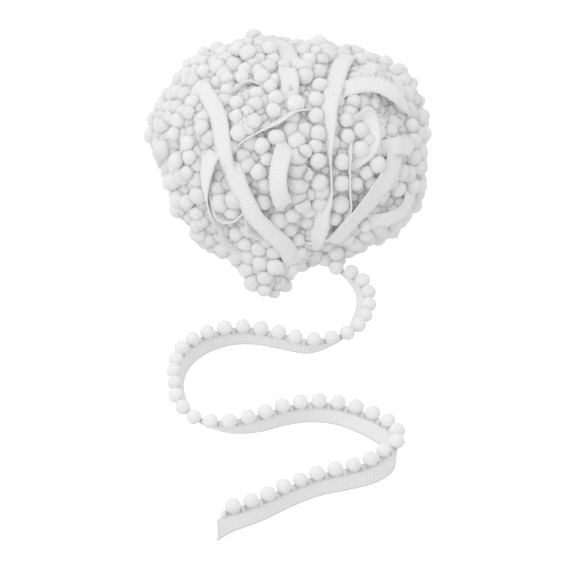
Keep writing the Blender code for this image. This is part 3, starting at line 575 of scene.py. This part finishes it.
# %% the room that is left
class Wrap:
    """The ball's surface while strips are laid on it from the outermost one inwards.

    For each direction of a fine grid, ceiling is how far out the next strip may still reach there, cover
    is the same under tapes alone, near_cover under those tapes that lie near the surface, and shown is
    the outermost thing laid so far. All pompoms and tapes that are laid are kept.
    """

    def __init__(self, directions):
        self.form = form_radius(directions)
        self.ceiling = self.form + PROUD_ROOM
        self.cover = self.form + 2 * PROUD_ROOM
        self.near_cover = self.cover.copy()
        self.shown = self.form - CORE_DEPTH
        self.tree = KDTree(len(directions))
        for index, direction in enumerate(directions):
            self.tree.insert(direction, index)
        self.tree.balance()
        self.pompoms, self.tapes = [], []

    def near(self, point, reach):
        """The grid directions within reach of a point, and how far off its line each of them is."""
        length = np.linalg.norm(point)
        found = self.tree.find_range(point / length, reach / length)
        indices = np.array([index for _, index, _ in found], int)
        return indices, length * np.array([distance for _, _, distance in found])

    def room_at(self, point):
        return self.ceiling[self.tree.find(unit(point))[1]]

    def bare_share(self, outwards, depth=BARE_DEPTH):
        """How much of a line of directions would still be seen if a strip were laid there."""
        found = [self.tree.find(direction)[1] for direction in outwards]
        return np.mean(self.shown[found] < self.form[found] - depth)

    def sunk(self, point, radius, softness=SOFTNESS):
        """A ball's centre moved in until it is clear of what lies over it; a tape over it yields less."""
        layers = (self.ceiling, softness, softness), (self.cover, COVER_REACH, COVER_FIRMNESS)
        return self.moved_in(point, radius, layers)

    def moved_in(self, point, radius, layers):
        length = np.linalg.norm(point)
        for over, reach, firmness in layers:
            indices, across = self.near(point, radius * reach)
            if len(indices):
                cap = radius * firmness * np.sqrt(np.maximum(1 - (across / (radius * reach)) ** 2, 0))
                length = min(length, (over[indices] - cap).min())
        return unit(point) * length

    def lay_pompom(self, point, radius):
        indices, across = self.near(point, radius)
        length = np.linalg.norm(point)
        cap = np.sqrt(np.maximum(radius**2 - across**2, 0))
        self.ceiling[indices] = np.minimum(self.ceiling[indices], length - cap)
        self.shown[indices] = np.maximum(self.shown[indices], length + cap)
        self.pompoms.append((point, radius))

    def lay_row(self, centres):
        for centre in centres:
            self.lay_pompom(centre, WOUND_RADIUS)

    def lay_tape(self, free_edge, root):
        """Lays a tape between two lines of points."""
        self.tapes.append((free_edge, root))
        for edge_point, root_point in zip(free_edge, root):
            for share in np.linspace(0, 1, 6):
                point = edge_point + share * (root_point - edge_point)
                length = np.linalg.norm(point)
                if length < np.linalg.norm(edge_point) - STEEP_DEPTH:
                    break
                indices, _ = self.near(point, 0.0013)
                under, over = length - TAPE_THICKNESS / 2, length + TAPE_THICKNESS / 2
                self.ceiling[indices] = np.minimum(self.ceiling[indices], under)
                self.cover[indices] = np.minimum(self.cover[indices], under)
                near = indices[under > self.form[indices] - NEAR_DEPTH]
                self.near_cover[near] = np.minimum(self.near_cover[near], under)
                self.shown[indices] = np.maximum(self.shown[indices], over)


# %% laying the outer strips
def lay_outer_tape(wrap, rows):
    """Lays one of the outermost strips' tape and gives the places of its pompoms."""
    table = [
        (*heading(bearing, height), math.radians(turn), lift * 0.001)
        for bearing, height, turn, lift in rows
    ]
    line = spline(table, 0.03)
    outwards = unit(line[:, :3])
    free_edge = outwards * (form_radius(outwards) + line[:, 4])[:, None]
    path = resampled(np.column_stack([free_edge, outwards, line[:, 3]]), STRIP_STEP)
    free_edge, outwards, turn = path[:, :3], unit(path[:, 3:6]), path[:, 6:7]
    left = unit(np.cross(outwards, tangents(free_edge)))
    across = np.cos(turn) * left + np.sin(turn) * outwards
    wrap.lay_tape(free_edge, free_edge + TAPE_WIDTH * across)
    spacing = round(WOUND_PITCH / STRIP_STEP)
    return (free_edge + POMPOM_HEIGHT * across)[spacing // 2 :: spacing]


def lay_front(wrap):
    """Lays the outermost tapes, then the pompoms that stand out beside them, then the tapes' own."""
    rows = [lay_outer_tape(wrap, table) for table in OUTER_STRIPS.values()]
    proud = []
    for bearing, height, lift, size in PROUD_POMPOMS:
        outwards, radius = heading(bearing, height), size * 0.001
        place = outwards * (form_radius(outwards)[0] + lift * 0.001 - radius)
        proud.append((wrap.sunk(place, radius, PROUD_SOFTNESS), radius))
    for place, radius in proud:
        wrap.lay_pompom(place, radius)
    wrap.ceiling = np.minimum(wrap.ceiling, wrap.form + OUTER_ROOM)
    for places in rows:
        sunk = [wrap.sunk(place, WOUND_RADIUS) for place in places]
        depth = np.linalg.norm(places, axis=1) - np.linalg.norm(sunk, axis=1)
        wrap.lay_row([place for place, sunk_by in zip(sunk, depth) if sunk_by < HIDDEN_DEPTH])


# %% laying the turns under them
def trial_turn(rng):
    """One turn as directions from the ball's middle, about a seeded axis."""
    yaw, pitch = rng.uniform(-1, 1, 2) * (YAW_SPREAD, PITCH_SPREAD)
    axis = np.array((math.cos(yaw) * math.cos(pitch), math.sin(yaw) * math.cos(pitch), math.sin(pitch)))
    first = unit(np.cross(axis, (0.0, 1.0, 0.0)))
    second = np.cross(axis, first)
    angle = np.linspace(0, 2 * math.pi, 72, endpoint=False)[:, None]
    offset = rng.uniform(-OFFSET_SPREAD, OFFSET_SPREAD) + WOBBLE * np.sin(3 * angle + rng.uniform(0, 6))
    around = np.sqrt(1 - offset**2)
    return unit(offset * axis + around * (np.cos(angle) * first + np.sin(angle) * second))


def lay_turn(wrap, outwards, rng):
    """Lays one turn: each pompom moves aside to where the strips over it leave most room."""
    seat = outwards * (form_radius(outwards) - WOUND_RADIUS)[:, None]
    seat = resampled(np.concatenate([seat, seat[:1]]), WOUND_PITCH)[:-1]
    side = unit(np.cross(unit(seat), tangents(seat)))
    laid = []
    for place, left in zip(seat, side):
        choices = [wrap.sunk(place + step * left, WOUND_RADIUS) for step in SIDE_STEPS]
        depth = [np.linalg.norm(place) - np.linalg.norm(c) for c in choices]
        cost = [d + SIDE_COST * abs(step) for d, step in zip(depth, SIDE_STEPS)]
        laid.append(choices[int(np.argmin(cost))])
    depth = np.linalg.norm(seat, axis=1) - np.linalg.norm(laid, axis=1)
    wrap.lay_row([centre for centre, sunk_by in zip(laid, depth) if sunk_by < HIDDEN_DEPTH])
    lay_turn_tape(wrap, np.array(laid), rng)


def lay_turn_tape(wrap, centres, rng):
    """Lays a turn's tape where it lies flat beside its pompoms; elsewhere it goes straight in, unseen."""
    share = np.linspace(0, 2 * math.pi, len(centres))
    slow = np.sin(share * rng.integers(2, 4) + rng.uniform(0, 6))
    ease = slow + 0.5 * np.sin(share * 5 + rng.uniform(0, 6))
    outwards = unit(centres)
    left = rng.choice((-1, 1)) * unit(np.cross(outwards, tangents(centres)))
    across = math.cos(FLAT_TURN) * left - math.sin(FLAT_TURN) * outwards
    flat = []
    for centre, direction, wish in zip(centres, across, ease):
        places = [centre + part * POMPOM_HEIGHT * direction for part in (0.45, 0.7, 1.0)]
        has_room = all(np.linalg.norm(p) < wrap.room_at(p) + FLAT_SQUEEZE for p in places)
        flat.append(wish > FLAT_WISH and has_room)
    runs = np.flatnonzero(np.diff(np.array([False, *flat, False], int)))
    for start, end in zip(runs[::2], runs[1::2]):
        if end - start > 3:
            lines = resampled(np.column_stack([centres, across])[start:end], STRIP_STEP)
            middle, direction = lines[:, :3], unit(lines[:, 3:])
            root = middle + (POMPOM_HEIGHT - TAPE_WIDTH) * direction
            wrap.lay_tape(middle + POMPOM_HEIGHT * direction, root)


# %% filling what is left
def even_directions(places):
    """Directions spread evenly all round."""
    count = np.arange(places) + 0.5
    height, bearing = 1 - 2 * count / places, count * math.pi * (1 + math.sqrt(5))
    flat = np.sqrt(1 - height**2)
    return np.stack([flat * np.cos(bearing), flat * np.sin(bearing), height], axis=1)


def fill_gaps(wrap):
    """Shows the turns below through what gaps are left: pompoms where there is room for them."""
    outwards = even_directions(FILL_PLACES)
    seat = outwards * (form_radius(outwards) - WOUND_RADIUS)[:, None]

    def sunk(place):
        return wrap.sunk(place, WOUND_RADIUS, FILL_SOFTNESS)

    def depth(place):
        return np.linalg.norm(place) - np.linalg.norm(sunk(place))

    for place in sorted(seat, key=depth):
        if depth(place) < FILL_DEPTH and wrap.bare_share([unit(place)], FILL_BARE):
            wrap.lay_pompom(sunk(place), WOUND_RADIUS)


def under_layer(wrap):
    """The layer below, close-packed, which every gap opens onto. It gives way only under the tapes."""
    outwards = even_directions(UNDER_PLACES)
    seat = outwards * (form_radius(outwards) - UNDER_DEPTH - WOUND_RADIUS)[:, None]
    layers = ((wrap.near_cover, COVER_REACH, COVER_FIRMNESS),)
    return [(wrap.moved_in(place, WOUND_RADIUS, layers), WOUND_RADIUS) for place in seat]


# %% wind the ball
def cube_directions(cuts):
    """Directions to an even grid on a cube that is blown up to a ball."""
    bpy.ops.mesh.primitive_cube_add(size=2)
    bpy.ops.object.mode_set(mode="EDIT")
    bpy.ops.mesh.subdivide(number_cuts=cuts)
    bpy.ops.object.mode_set(mode="OBJECT")
    grid = bpy.context.object
    corners = np.array([vertex.co for vertex in grid.data.vertices])
    return grid, unit(np.tan(corners * math.pi / 4))


grid, directions = cube_directions(GRID_CUTS)
bpy.data.objects.remove(grid)
wrap = Wrap(directions)
lay_front(wrap)
front_cover = wrap.cover.copy()
wind_rng = np.random.default_rng(SEED)
wrap.ceiling = np.minimum(wrap.ceiling, wrap.form)
for _ in range(TURNS):
    lay_turn(wrap, max([trial_turn(wind_rng) for _ in range(TRIALS)], key=wrap.bare_share), wind_rng)
fill_gaps(wrap)
wound = len(wrap.pompoms)
wrap.pompoms += under_layer(wrap)
print("pompoms wound:", wound, "and in the layer below:", len(wrap.pompoms) - wound)
print("tapes wound:", len(wrap.tapes))

# %% [markdown]
# ## The pompoms of the ball
# Over three thousand pompoms, those of the layer below among them, are copies of eight forms. Each is turned
# at random, squashed a little towards the ball's middle, and made slightly larger where no tape of the
# front lies over it. They are joined into a few pieces, so that no one piece grows too heavy. Those under
# the ball are pressed flat by the surface that it rests on.

# %% place them
PIECE_POMPOMS = 800
FLOOR_PRESS = 0.0030  # a pompom's centre stays this far above the surface
SWELL_LEAST, SWELL_MOST, SHRINK_MOST = 1.04, 1.2, 0.9
TONE_SPREAD = 0.09


def wound_copy(centre, size, rng):
    """One pompom of the ball, in the object's own place."""
    place = centre + BALL_MIDDLE
    place[2] = max(place[2], FLOOR_PRESS)
    corners, faces = wound_pompoms[rng.integers(len(wound_pompoms))]
    room = front_cover[wrap.tree.find(unit(centre))[1]] - np.linalg.norm(centre)
    radius = max(min(size * rng.uniform(SWELL_LEAST, SWELL_MOST), room), SHRINK_MOST * size)
    corners = place + turned_copy(corners, radius, rng.uniform(0.86, 1.0), unit(centre), rng)
    corners[:, 2] = np.maximum(corners[:, 2], 0.0)
    return corners, faces


size_rng = np.random.default_rng(SEED + 1)
ball_pieces = []
for number, first in enumerate(range(0, len(wrap.pompoms), PIECE_POMPOMS)):
    laid = wrap.pompoms[first : first + PIECE_POMPOMS]
    copies = [wound_copy(centre, radius, size_rng) for centre, radius in laid]
    tones = 1 - TONE_SPREAD * size_rng.random(len(copies)) ** 2
    ball_pieces.append(joined_piece(f"ball_pompoms_{number + 1}", copies, tones, ball_pile))

# %% [markdown]
# ## The ball's core
# Deep under the strips lie more turns, of which next to nothing is seen. A rounded cube, drawn out to a
# little under the wound form, closes the view there, so no light comes through.

# %% the core
CORE_CUTS = 30
SEEN_DEPTH = 0.0090  # the core closes the view this far under the form
core, directions = cube_directions(CORE_CUTS)
core.name = core.data.name = "ball_core"
reach = form_radius(directions) - SEEN_DEPTH
corners = directions * reach[:, None] + BALL_MIDDLE
corners[:, 2] = np.maximum(corners[:, 2], 0.001)
core.data.vertices.foreach_set("co", corners.ravel())
# The core's tone of 0.9 is lower than any pompom's: this is painted shade, which darkens the deep turns seen
# through the gaps between pompoms.
core.data.attributes.new("tone", "FLOAT", "POINT").data.foreach_set("value", np.full(len(corners), 0.9))
core.data.materials.append(ball_pile)
core.data.shade_smooth()
ball_pieces.append(core)
print("core faces:", len(core.data.polygons))

# %% [markdown]
# ## The tape
# The tape is a flat grid with its columns a quarter of a rib apart. Each column moves along the strip's
# line, and every second pair moves out and in by a hair, which makes the ribs real and gives the free edge
# its fine scallops. Solidify makes it a closed cloth. In the ball both ends of a strip dive under the
# turns beside them, as they do in a real winding, so that no end shows.

# %% a ribbed strip
RIB_PITCH = 0.00195
RIB_STEPS = 4
RIB_HEIGHT = 0.00022
SCALLOP = 0.00016
RIPPLE, RIPPLE_LENGTH = 0.0005, 0.0085  # a strip of the ball is this uneven, in waves about so long
ACROSS_FACES = 4
CLOTH_THICKNESS = 0.0008


def ribbed_strip(name, free_edge, root, thickness=CLOTH_THICKNESS, ripple=0.0):
    """A ribbed tape between two lines of points, closed all round, with a UV map in millimetres."""
    lines = spline(np.column_stack([free_edge, root]), RIB_PITCH / RIB_STEPS)
    edge, top = lines[:, :3], lines[:, 3:]
    across = unit(top - edge)
    width = np.linalg.norm(top - edge, axis=1)
    out = unit(np.cross(tangents((edge + top) / 2), across))
    along = np.arange(len(lines))
    wave = np.cos(along * 2 * math.pi / RIB_STEPS)[:, None]
    slow = along * RIB_PITCH / RIB_STEPS / RIPPLE_LENGTH
    bpy.ops.mesh.primitive_grid_add(x_subdivisions=ACROSS_FACES, y_subdivisions=len(lines) - 1, size=1)
    strip = bpy.context.object
    strip.name = strip.data.name = name
    shares = np.linspace(0, 1, ACROSS_FACES + 1)
    columns = []
    for share in shares:
        swell = np.sin(slow + 2.5 * share + np.sin(slow * 0.37))[:, None]
        rise = RIB_HEIGHT * wave + ripple * swell
        columns.append(edge + across * (width * share)[:, None] + out * rise)
    columns[0] = columns[0] - across * SCALLOP * wave
    corners = np.stack(columns, axis=1)
    corners[:, :, 2] = np.maximum(corners[:, :, 2], thickness / 2 + lowest(corners))
    strip.data.vertices.foreach_set("co", corners.ravel())
    across_mm, along_mm = shares * TAPE_WIDTH * 1000, along * RIB_PITCH / RIB_STEPS * 1000
    flat = np.stack(np.meshgrid(across_mm, along_mm), axis=2).reshape(-1, 2)
    index = np.zeros(len(strip.data.loops), int)
    strip.data.loops.foreach_get("vertex_index", index)
    strip.data.uv_layers["UVMap"].data.foreach_set("uv", flat[index].ravel())
    cloth = strip.modifiers.new("cloth", "SOLIDIFY")
    cloth.thickness = thickness
    cloth.offset = 0
    bpy.ops.object.modifier_apply(modifier="cloth")
    strip.data.shade_smooth()
    strip.data.materials.clear()
    strip.data.materials.append(tape_finish)
    return strip


def lowest(corners):
    """Strips in the ball are moved up by its middle later, so their floor lies lower in their own place."""
    return -BALL_MIDDLE[2] if corners[:, :, 2].min() < -0.001 else 0.0


# %% its tucked ends
TUCK_RADIUS = 0.009
TUCK_STEPS = 5
TUCK_TURN = math.radians(100)


def tucked(free_edge, root):
    """The same strip with both ends carried on in a bend that dives towards the ball's middle."""
    for _ in range(2):
        edge, across = free_edge[-1], root[-1] - free_edge[-1]
        ahead = unit(free_edge[-1] - free_edge[-2])
        inwards = -unit((free_edge[-1] + root[-1]) / 2)
        inwards = unit(inwards - (inwards @ ahead) * ahead)
        hinge = np.cross(ahead, inwards)
        more_edge, more_root = [], []
        for angle in np.linspace(0, TUCK_TURN, TUCK_STEPS + 1)[1:]:
            moved = edge + TUCK_RADIUS * (math.sin(angle) * ahead + (1 - math.cos(angle)) * inwards)
            level = (across @ hinge) * hinge
            rest = across - level
            swung = math.cos(angle) * rest + math.sin(angle) * np.cross(hinge, rest)
            more_edge.append(moved)
            more_root.append(moved + level + swung)
        free_edge = np.concatenate([free_edge, more_edge])[::-1]
        root = np.concatenate([root, more_root])[::-1]
    return free_edge, root


# %% the strips of the ball
def joined_strips(name, tapes):
    """Several strips of the ball joined into one piece."""
    strips = [ribbed_strip(name, *tucked(free_edge, root), ripple=RIPPLE) for free_edge, root in tapes]
    bpy.ops.object.select_all(action="DESELECT")
    for strip in strips:
        strip.select_set(True)
    bpy.context.view_layer.objects.active = strips[0]
    bpy.ops.object.join()
    piece = strips[0]
    piece.name = piece.data.name = name
    corners = np.zeros(len(piece.data.vertices) * 3)
    piece.data.vertices.foreach_get("co", corners)
    piece.data.vertices.foreach_set("co", (corners.reshape(-1, 3) + BALL_MIDDLE).ravel())
    bpy.ops.object.select_all(action="DESELECT")
    print(name, "has", len(tapes), "strips and", len(piece.data.polygons), "faces")
    return piece


ball_pieces.append(joined_strips("ball_front_tapes", wrap.tapes[: len(OUTER_STRIPS)]))
ball_pieces.append(joined_strips("ball_inner_tapes", wrap.tapes[len(OUTER_STRIPS) :]))

# %% [markdown]
# ## The loose end
# The loose end leaves the ball low at the front and winds towards the viewer. It stands on the tape's free
# edge, leans one way and then the other, and its cut end turns up at the corner. Its line is a table of
# places on the surface, each with the lean of the tape there.

# %% its line
LOOSE_END = (
    (16, -24.7, 12, -68), (25, -34.9, 4.5, -58), (32, -45.1, 1.5, -33), (36.5, -55.3, 0, -10),
    (37.3, -68.5, 0, 20), (34.5, -82.5, 0, 38), (29.5, -98.9, 0, 38), (20, -109, 0, 34),
    (8.5, -114.3, 0, 20), (-6, -109.8, 0, 15), (-22, -105.6, 0, 12), (-36, -107.8, 0, 8),
    (-48, -116.3, 0, -2), (-55.5, -128.3, 0, -12), (-58.3, -142.3, 0, -17), (-56.5, -156.7, 0, -24),
    (-52, -169.7, 0, -36), (-43.5, -180.7, 0, -40), (-31, -186.3, 0, -26), (-16.2, -185.1, 0, -9),
    (-3, -179.6, 0, -2), (11, -176.6, 0, 0), (25, -179.3, 0, 6), (38, -187.8, 0, 15), (48.5, -198.3, 0, 22),
    (54.6, -209.4, 0, 8), (52.5, -220.8, 0, -16), (43, -229.8, 0, -14), (29, -235.3, 0, -8),
    (15, -240, 0, -6), (0.5, -248.8, 0, -5), (-14, -260, 0, -7), (-25, -266.6, 0, -9),
    (-30.6, -270.2, 0, -16), (-34.4, -273.6, 0, -27), (-37.5, -277.2, 0, -35),
)
END_BEND = 0.014  # over this last length the tape turns its face to the front
END_RUN = np.array((-1.0, 0.0, 0.0))


def loose_end_frames(step):
    """Points along the loose end: the tape's free edge, the way up the tape, and its sideways normal."""
    rows = [(x * 0.001, y * 0.001, z * 0.001, math.radians(lean)) for x, y, z, lean in LOOSE_END]
    line = spline(rows, step)
    edge, lean = line[:, :3], line[:, 3:4]
    edge[:, 2] = np.maximum(edge[:, 2], 0)
    to_end = step * np.arange(len(edge))[::-1, None]
    run = tangents(edge)
    run = unit(run + np.clip(1 - to_end / END_BEND, 0, 1) ** 2 * (END_RUN - run))
    left = unit(np.cross((0.0, 0.0, 1.0), run))
    above = unit(np.cross(run, left))
    up = np.cos(lean) * above + np.sin(lean) * left
    edge = edge + above * TAPE_THICKNESS / 2 * np.abs(np.sin(lean))
    return edge, up, np.cross(run, up)


edge, up, _ = loose_end_frames(0.0025)
loose_length = np.linalg.norm(np.diff(edge, axis=0), axis=1).sum()
print("loose end:", round(loose_length * 1000), "mm long")

# %% its tape
loose_tape = ribbed_strip("loose_end_tape", edge, edge + TAPE_WIDTH * up, 0.0010)
print("loose tape faces:", len(loose_tape.data.polygons))

# %% [markdown]
# ## The loose pompoms
# On the loose end each pompom is seen from close by, so its form has more faces and a rougher pile than
# those in the ball. It narrows a little towards the bound core that carries it, and between two pompoms the
# core's own pile shows as a small lump. Each row is one piece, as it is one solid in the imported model.

# %% rows of pompoms
ROW_POMPOMS = 5
FIRST_POMPOM = 0.0246
END_ROOM = 0.0015  # the last pompom's centre is at least this far from the cut end
LUMP_HEIGHT = 0.0114
LUMP_RADIUS = 0.0021
NECK = 0.34  # how much a pompom narrows towards the core

edge, up, _ = loose_end_frames(0.0005)
line = edge + POMPOM_HEIGHT * up
along = np.concatenate([[0], np.cumsum(np.linalg.norm(np.diff(line, axis=0), axis=1))])
pompom_count = int((along[-1] - FIRST_POMPOM - END_ROOM) / POMPOM_PITCH) + 1
loose_rng = np.random.default_rng(SEED + 2)


def on_strip(place):
    """The tape's free edge, its way up and its run at a place counted in pompoms."""
    where = FIRST_POMPOM + place * POMPOM_PITCH
    point, upwards = (np.array([np.interp(where, along, c) for c in part.T]) for part in (edge, up))
    ahead = np.array([np.interp(where + 0.001, along, c) for c in edge.T]) - point
    return point, unit(upwards), unit(ahead)


def cut_straight(corners):
    """What stands out past the cut end is cut off with it."""
    if np.linalg.norm(corners.mean(axis=0) - edge[-1]) > 2 * POMPOM_PITCH:
        return corners
    past = np.maximum((corners - edge[-1]) @ END_RUN, 0)
    return corners - np.outer(past, END_RUN)


def loose_copy(place):
    """One pompom, drawn in towards the core under it."""
    point, upwards, _ = on_strip(place)
    form, faces = loose_pompoms[loose_rng.integers(len(loose_pompoms))]
    radius = POMPOM_RADIUS * loose_rng.uniform(0.98, 1.06)
    corners = turned_copy(form, radius, 1.0, upwards, loose_rng)
    height = corners @ upwards
    low = np.clip(-height / radius, 0, 1)[:, None]
    corners = corners * (1 - NECK * low**2) + np.outer(height, upwards) * NECK * low**2
    return cut_straight(point + POMPOM_HEIGHT * upwards + corners), faces


def core_copy(place, radius, length):
    """A lump of the core's pile, drawn out along the strip."""
    point, upwards, ahead = on_strip(place)
    form, faces = wound_pompoms[loose_rng.integers(len(wound_pompoms))]
    corners = turned_copy(form, radius, 1.0, upwards, loose_rng)
    corners = corners + np.outer(corners @ ahead, ahead) * (length - 1)
    return cut_straight(point + LUMP_HEIGHT * upwards + corners), faces


row_pieces = []
for number, first in enumerate(range(0, pompom_count, ROW_POMPOMS)):
    places = range(first, min(first + ROW_POMPOMS, pompom_count))
    copies = [loose_copy(place) for place in places]
    copies += [core_copy(place + 0.5, LUMP_RADIUS, 1.15) for place in places]
    copies += [core_copy(place + share, 0.0017, 1.5) for place in places for share in (-0.22, 0.22)]
    tones = 1 - 0.05 * loose_rng.random(len(copies))
    row_pieces.append(joined_piece(f"loose_pompoms_{number + 1:02d}", copies, tones, loose_pile))

# %% [markdown]
# ## Fixing the pieces to the imported model
# Every piece rides on the one body and stands for its solid.

# %% riding and replacing
for piece in ball_pieces:
    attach(piece, "root")
    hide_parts("wound_ball")
    "tape" if "tapes" in piece.name else "pile"
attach(loose_tape, "root")
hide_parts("loose_tape")
for number, piece in enumerate(row_pieces):
    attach(piece, "root")
    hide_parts(f"pompom_row_{number + 1:02d}")
print("pieces:", len(ball_pieces) + 1 + len(row_pieces))
